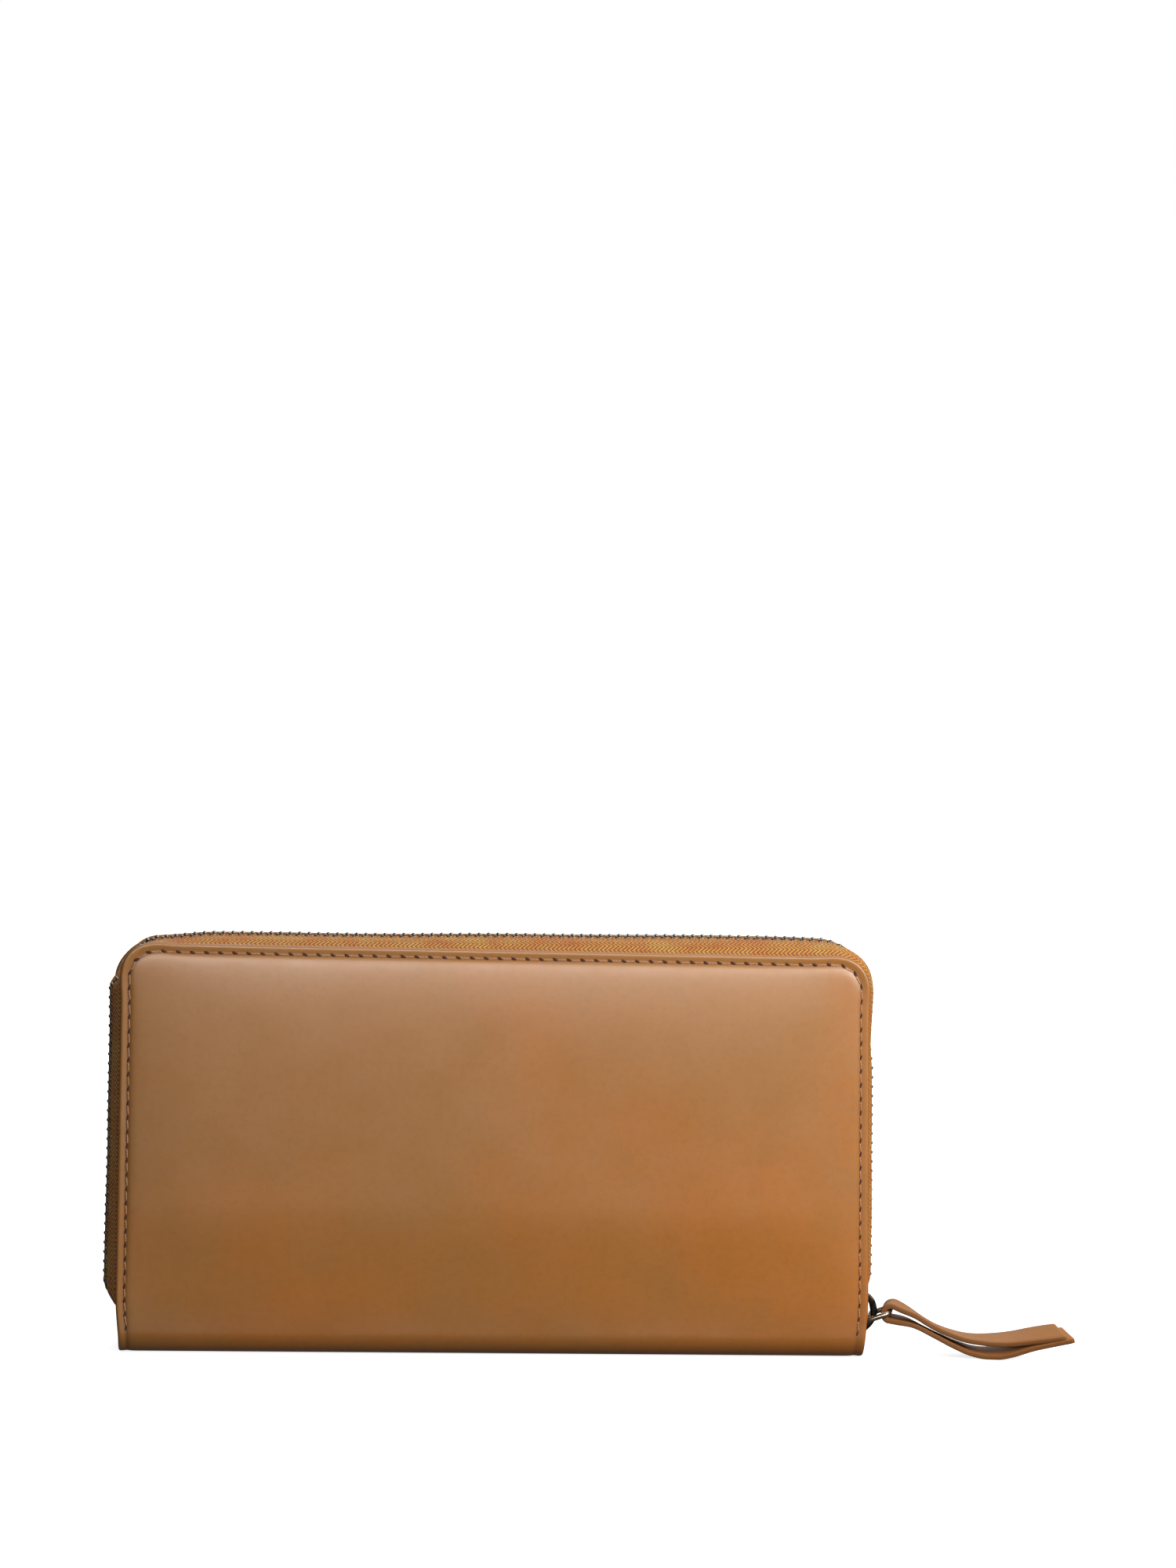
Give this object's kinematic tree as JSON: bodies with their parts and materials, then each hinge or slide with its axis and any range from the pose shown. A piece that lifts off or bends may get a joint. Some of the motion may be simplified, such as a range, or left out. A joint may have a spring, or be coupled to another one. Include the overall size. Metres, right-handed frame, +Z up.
{
  "type": "zip-around wallet",
  "caption": "Long leather wallet closed by a zip round three sides, standing on its folded spine, with a leather strap pull.",
  "frame": {"origin": "middle of the flat underside of the spine, on the surface that the wallet stands on", "axes": "+X along the wallet's width towards the zip pull, +Z up from the spine to the zipped top edge, -Y out of the front cover"},
  "size_m": [0.251, 0.0276, 0.1073],
  "materials": {
    "outer_leather": "smooth waxed tan cowhide, slightly glossy",
    "slot_leather": "thin tan leather with burnished edges",
    "lining": "brown woven lining",
    "zip_tape": "orange-tan herringbone tape",
    "zip_metal": "antique black plated brass",
    "ring_metal": "worn antique nickel",
    "board": "pressed fibre stiffener",
    "thread": "waxed tan thread"
  },
  "bodies": {
    "core": {"spine_leather": "outer_leather", "spine_lining": "lining", "coin_pocket_base": "lining", "coin_pocket_front": "lining", "coin_pocket_back": "lining", "coin_pocket_end_left": "lining", "coin_pocket_end_right": "lining", "coin_zip_tape_front": "zip_tape", "coin_zip_tape_back": "zip_tape", "coin_zip_teeth": "zip_metal", "coin_zip_stops": "zip_metal", "gusset_front_left": "lining", "gusset_front_right": "lining", "gusset_back_left": "lining", "gusset_back_right": "lining"},
    "front_cover": {"front_leather": "outer_leather", "front_board": "board", "front_lining": "lining", "front_stitching": "thread", "front_card_slot_1": "slot_leather", "front_card_slot_2": "slot_leather", "front_card_slot_3": "slot_leather", "front_card_slot_4": "slot_leather", "front_zip_tape": "zip_tape", "front_zip_teeth": "zip_metal", "front_zip_stops": "zip_metal"},
    "back_cover": {"back_leather": "outer_leather", "back_board": "board", "back_lining": "lining", "back_stitching": "thread", "back_card_slot_1": "slot_leather", "back_card_slot_2": "slot_leather", "back_card_slot_3": "slot_leather", "back_card_slot_4": "slot_leather", "back_zip_tape": "zip_tape", "back_zip_teeth": "zip_metal", "back_zip_stops": "zip_metal"},
    "slider": {"zip_slider": "zip_metal"},
    "ring": {"pull_ring": "ring_metal"},
    "strap": {"pull_strap": "outer_leather"},
    "coin_slider": {"coin_zip_slider": "zip_metal"},
    "coin_pull": {"coin_zip_pull": "ring_metal"}
  },
  "joints": [
    {"name": "front_cover_fold", "type": "hinge", "parent": "core", "child": "front_cover", "pos_m": [0, -0.01024, 0.00176], "axis": [1, 0, 0], "range_deg": [0, 38], "deforming": ["gusset_front_left", "gusset_front_right", "front_zip_teeth"]},
    {"name": "back_cover_fold", "type": "hinge", "parent": "core", "child": "back_cover", "pos_m": [0, 0.01024, 0.00176], "axis": [-1, 0, 0], "range_deg": [0, 38], "deforming": ["gusset_back_left", "gusset_back_right", "back_zip_teeth"]},
    {"name": "zip_slide", "type": "slide", "parent": "back_cover", "child": "slider", "axis": [0.0297, 0, 0.9996], "range_m": [0, 0.078], "deforming": ["front_zip_teeth", "back_zip_teeth"]},
    {"name": "ring_swing", "type": "hinge", "parent": "slider", "child": "ring", "pos_m": [0.09993, 0, 0.0089], "axis": [-0.2079, -0.9781, 0], "range_deg": [0, 26]},
    {"name": "strap_swing", "type": "hinge", "parent": "ring", "child": "strap", "pos_m": [0.10595, -0.00128, 0.01127], "axis": [-0.2079, -0.9781, 0], "range_deg": [0, 95]},
    {"name": "coin_zip_slide", "type": "slide", "parent": "core", "child": "coin_slider", "axis": [-1, 0, 0], "range_m": [0, 0.154], "deforming": ["coin_zip_teeth"]},
    {"name": "coin_pull_swing", "type": "hinge", "parent": "coin_slider", "child": "coin_pull", "pos_m": [0.077, 0, 0.0965], "axis": [0, -1, 0], "range_deg": [0, 170]}
  ]
}
